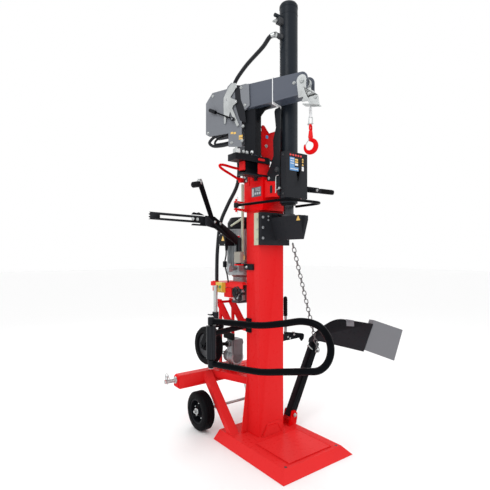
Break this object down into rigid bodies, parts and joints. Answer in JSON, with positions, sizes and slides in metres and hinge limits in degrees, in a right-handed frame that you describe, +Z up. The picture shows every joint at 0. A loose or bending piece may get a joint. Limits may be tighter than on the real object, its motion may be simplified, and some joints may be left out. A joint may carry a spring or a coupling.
{
  "type": "vertical log splitter",
  "caption": "Upright hydraulic log splitter on a steel base, with a slewing winch boom, tipping log lifter, side guard hoop, two control arms and transport wheels.",
  "frame": {"origin": "on the ground under the middle of the column", "axes": "+Z up, -Y to the front where the log stands, +X to the side with the log lifter, +Y to the tractor hitch"},
  "size_m": [1.454, 1.2885, 2.722],
  "materials": {
    "red_paint": "gloss enamel",
    "black_paint": "gloss enamel",
    "grey_paint": "satin enamel",
    "light_grey_paint": "satin enamel",
    "zinc": "zinc plated",
    "steel": "ground and polished",
    "cast_alloy": "as cast",
    "tyre_rubber": "matt black",
    "hose_rubber": "matt black",
    "liner_plastic": "cream wear strip",
    "switch_plastic": "yellow casing",
    "start_plastic": "green",
    "stop_plastic": "red",
    "black_plastic": "moulded"
  },
  "bodies": {
    "frame": {"base_pan": "red_paint", "column": "red_paint", "head_collar": "red_paint", "hitch_beam": "red_paint", "hitch_pin_left": "red_paint", "hitch_pin_right": "red_paint", "strut_left": "red_paint", "strut_right": "red_paint", "axle": "red_paint", "top_link_bracket": "red_paint", "cylinder_tube": "grey_paint", "cylinder_cap": "grey_paint", "cylinder_cover": "black_paint", "cheek_left": "black_paint", "cheek_right": "black_paint", "lift_bracket": "red_paint", "guard_post": "black_paint", "loop_handle": "red_paint", "swivel_base": "black_paint", "motor_body": "cast_alloy", "fan_cover": "black_plastic", "terminal_box": "black_plastic", "motor_shelf": "red_paint", "switch_box": "switch_plastic", "hydraulic_pump": "cast_alloy", "pto_gearbox": "cast_alloy", "pressure_hose": "hose_rubber", "stroke_rod": "liner_plastic", "jockey_clamp": "black_paint"},
    "wheel_left": {"tyre_left": "tyre_rubber", "rim_left": "cast_alloy"},
    "wheel_right": {"tyre_right": "tyre_rubber", "rim_right": "cast_alloy"},
    "carriage": {"carriage": "black_paint", "guide_liner": "liner_plastic", "splitting_wedge": "black_paint", "piston_rod": "steel"},
    "lifter": {"lift_arm": "black_paint", "lift_plate": "black_paint", "lift_wing": "light_grey_paint"},
    "chain": {"lift_chain": "zinc"},
    "latch": {"latch_hook": "zinc"},
    "guard": {"guard_hoop": "black_paint"},
    "left_arm": {"control_arm_left": "black_paint", "gripper_bar": "black_paint"},
    "right_arm": {"control_arm_right": "black_paint"},
    "finger": {"finger_hoop": "black_paint"},
    "boom": {"boom": "grey_paint", "winch_housing": "grey_paint", "limit_bracket": "zinc"},
    "drum": {"winch_drum": "red_paint"},
    "sheave": {"tip_sheave": "zinc"},
    "hook": {"hook_block": "red_paint"},
    "winch_lever": {"winch_lever": "black_paint"},
    "locking_lever": {"locking_lever": "zinc"},
    "start_button": {"start_button": "start_plastic"},
    "stop_button": {"stop_button": "stop_plastic"},
    "jockey_stem": {"jockey_tube": "zinc"},
    "jockey_castor": {"jockey_fork": "grey_paint"},
    "jockey_roller": {"jockey_wheel": "tyre_rubber"}
  },
  "joints": [
    {"name": "wheel_left_spin", "type": "hinge", "parent": "frame", "child": "wheel_left", "pos_m": [-0.269, 0.384, 0.13], "axis": [1, 0, 0], "continuous": true},
    {"name": "wheel_right_spin", "type": "hinge", "parent": "frame", "child": "wheel_right", "pos_m": [0.269, 0.384, 0.13], "axis": [1, 0, 0], "continuous": true},
    {"name": "carriage_slide", "type": "slide", "parent": "frame", "child": "carriage", "axis": [0, 0, -1], "range_m": [0, 1.1]},
    {"name": "lifter_hinge", "type": "hinge", "parent": "frame", "child": "lifter", "pos_m": [0.21, 0.005, 0.117], "axis": [0, 1, 0], "range_deg": [0, 62.5]},
    {"name": "chain_hinge", "type": "hinge", "parent": "carriage", "child": "chain", "pos_m": [0.132, -0.092, 1.292], "axis": [0, -1, 0], "range_deg": [0, 58.86], "deforming": ["lift_chain"]},
    {"name": "latch_hinge", "type": "hinge", "parent": "frame", "child": "latch", "pos_m": [0.2, 0.036, 0.634], "axis": [0, -1, 0], "range_deg": [0, 15]},
    {"name": "guard_hinge", "type": "hinge", "parent": "frame", "child": "guard", "pos_m": [-0.455, -0.045, 0.69], "axis": [0, 0, -1], "range_deg": [0, 90]},
    {"name": "left_arm_hinge", "type": "hinge", "parent": "frame", "child": "left_arm", "pos_m": [-0.15, 0.108, 1.2], "axis": [0, 0, 1], "range_deg": [0, 45], "stiffness_Nm_per_rad": 12},
    {"name": "right_arm_hinge", "type": "hinge", "parent": "frame", "child": "right_arm", "pos_m": [0.15, 0.108, 1.4], "axis": [0, 0, -1], "range_deg": [0, 50], "stiffness_Nm_per_rad": 12},
    {"name": "finger_hinge", "type": "hinge", "parent": "frame", "child": "finger", "pos_m": [-0.242, 0.006, 1.496], "axis": [0, 0, -1], "range_deg": [0, 75]},
    {"name": "boom_swing", "type": "hinge", "parent": "frame", "child": "boom", "pos_m": [-0.165, -0.062, 1.9], "axis": [0, 0, -1], "range_deg": [0, 60]},
    {"name": "drum_spin", "type": "hinge", "parent": "boom", "child": "drum", "pos_m": [-0.22835, 0.13297, 2.09], "axis": [0.9511, 0.309, 0], "range_deg": [0, 186]},
    {"name": "sheave_spin", "type": "hinge", "parent": "boom", "child": "sheave", "pos_m": [-0.05375, -0.40438, 2.151], "axis": [0.9511, 0.309, 0], "range_deg": [0, 335]},
    {"name": "hook_drop", "type": "slide", "parent": "boom", "child": "hook", "axis": [0, 0, -1], "range_m": [0, 0.15]},
    {"name": "winch_lever_hinge", "type": "hinge", "parent": "boom", "child": "winch_lever", "pos_m": [-0.26447, 0.01503, 2.025], "axis": [0.9511, 0.309, 0], "range_deg": [-18, 18], "stiffness_Nm_per_rad": 4},
    {"name": "locking_lever_hinge", "type": "hinge", "parent": "frame", "child": "locking_lever", "pos_m": [0.01, -0.1, 1.655], "axis": [0, -1, 0], "range_deg": [0, 40], "stiffness_Nm_per_rad": 0.8},
    {"name": "start_press", "type": "slide", "parent": "frame", "child": "start_button", "axis": [1, 0, 0], "range_m": [0, 0.003], "stiffness_N_per_m": 600},
    {"name": "stop_press", "type": "slide", "parent": "frame", "child": "stop_button", "axis": [1, 0, 0], "range_m": [0, 0.003], "stiffness_N_per_m": 600},
    {"name": "jockey_height", "type": "slide", "parent": "frame", "child": "jockey_stem", "axis": [0, 0, -1], "range_m": [0, 0.048]},
    {"name": "jockey_swivel", "type": "hinge", "parent": "jockey_stem", "child": "jockey_castor", "pos_m": [-0.2, 0.305, 0.7], "axis": [0, 0, 1], "range_deg": [0, 180]},
    {"name": "jockey_wheel_spin", "type": "hinge", "parent": "jockey_castor", "child": "jockey_roller", "pos_m": [-0.2, 0.395, 0.565], "axis": [1, 0, 0], "continuous": true}
  ],
  "couplings": [
    {"joint": "lifter_hinge", "follows": "carriage_slide", "rad_per_m": 0.99008},
    {"joint": "chain_hinge", "follows": "carriage_slide", "rad_per_m": 0.93232},
    {"joint": "hook_drop", "follows": "drum_spin", "m_per_rad": 0.046},
    {"joint": "sheave_spin", "follows": "drum_spin", "ratio": 1.8}
  ]
}
